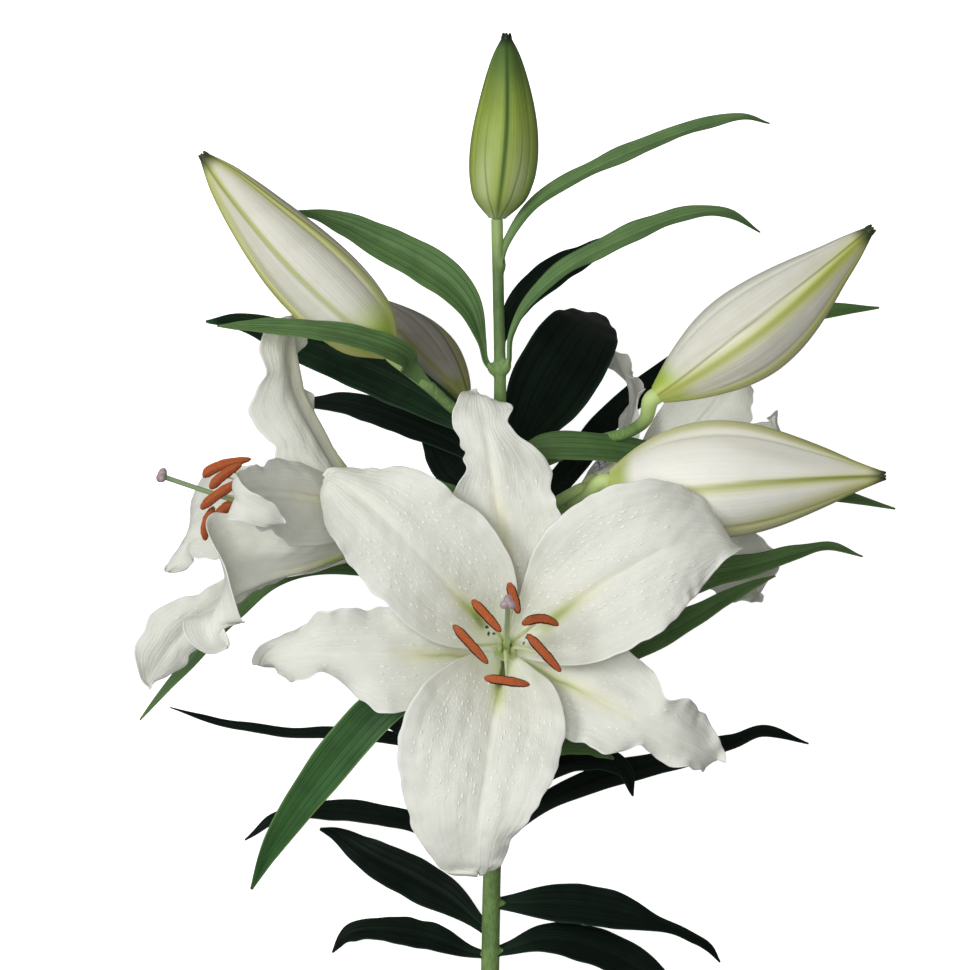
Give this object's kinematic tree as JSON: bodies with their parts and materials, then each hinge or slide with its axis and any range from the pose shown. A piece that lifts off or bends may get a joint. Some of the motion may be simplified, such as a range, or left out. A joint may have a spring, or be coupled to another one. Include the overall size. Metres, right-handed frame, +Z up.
{
  "type": "cut lily flowering stem",
  "caption": "Cut stem of a white Oriental lily lying on its back, with open trumpet blooms, closed buds and long narrow leaves.",
  "frame": {"origin": "on the surface the stem lies on, under the middle of its outline seen from above", "axes": "+Y along the stem from the cut end to the top bud, +X to its right seen from above, +Z up from the surface towards the face of the front bloom"},
  "size_m": [0.3059, 0.4443, 0.1749],
  "materials": {
    "tepal": "satin white, shaded green-yellow at the throat",
    "bud_white": "satin cream white with green ribs",
    "bud_green": "satin yellow-green",
    "leaf_dark": "waxy, near black green",
    "leaf_mid": "waxy green",
    "leaf_young": "waxy light green",
    "stem": "smooth waxy green",
    "stamen": "powdery rust orange",
    "pistil": "smooth grey-green"
  },
  "bodies": {
    "root": {"stem": "stem", "leaf_top_right": "leaf_young", "leaf_upper_right": "leaf_young", "leaf_upper_right_back": "leaf_dark", "leaf_upper_left": "leaf_mid", "leaf_back_right": "leaf_dark", "leaf_left_bract": "leaf_mid", "leaf_left_dark": "leaf_dark", "leaf_left_back": "leaf_dark", "leaf_back_left": "leaf_dark", "leaf_left_small": "leaf_mid", "leaf_right_bract": "leaf_mid", "leaf_right_far": "leaf_dark", "leaf_right_middle": "leaf_mid", "leaf_right_front": "leaf_mid", "leaf_low_right": "leaf_dark", "leaf_right_small": "leaf_dark", "leaf_right_short": "leaf_mid", "leaf_left_long": "leaf_dark", "leaf_left_front": "leaf_mid", "leaf_left_inner": "leaf_dark", "leaf_low_left": "leaf_dark", "leaf_bottom_left": "leaf_dark", "leaf_base_left": "leaf_dark", "leaf_bottom_right": "leaf_dark", "leaf_base_right": "leaf_dark", "leaf_far_left": "leaf_mid", "bud_top": "bud_green", "bud_left": "bud_white", "bud_left_back": "bud_white", "bud_right_upper": "bud_white", "bud_right_lower": "bud_white", "front_inner_upper_left": "tepal", "front_inner_upper_right": "tepal", "front_inner_lower": "tepal", "front_outer_top": "tepal", "front_outer_left": "tepal", "front_outer_right": "tepal", "front_stamens": "stamen", "front_pistil": "pistil", "left_inner_top": "tepal", "left_inner_near": "tepal", "left_inner_far": "tepal", "left_outer_near": "tepal", "left_outer_low": "tepal", "left_outer_far": "tepal", "left_stamens": "stamen", "left_pistil": "pistil", "back_inner_upper": "tepal", "back_inner_lower": "tepal", "back_inner_under": "tepal", "back_outer_upper": "tepal", "back_outer_side": "tepal", "back_outer_under": "tepal", "back_stamens": "stamen", "back_pistil": "pistil"}
  },
  "joints": []
}
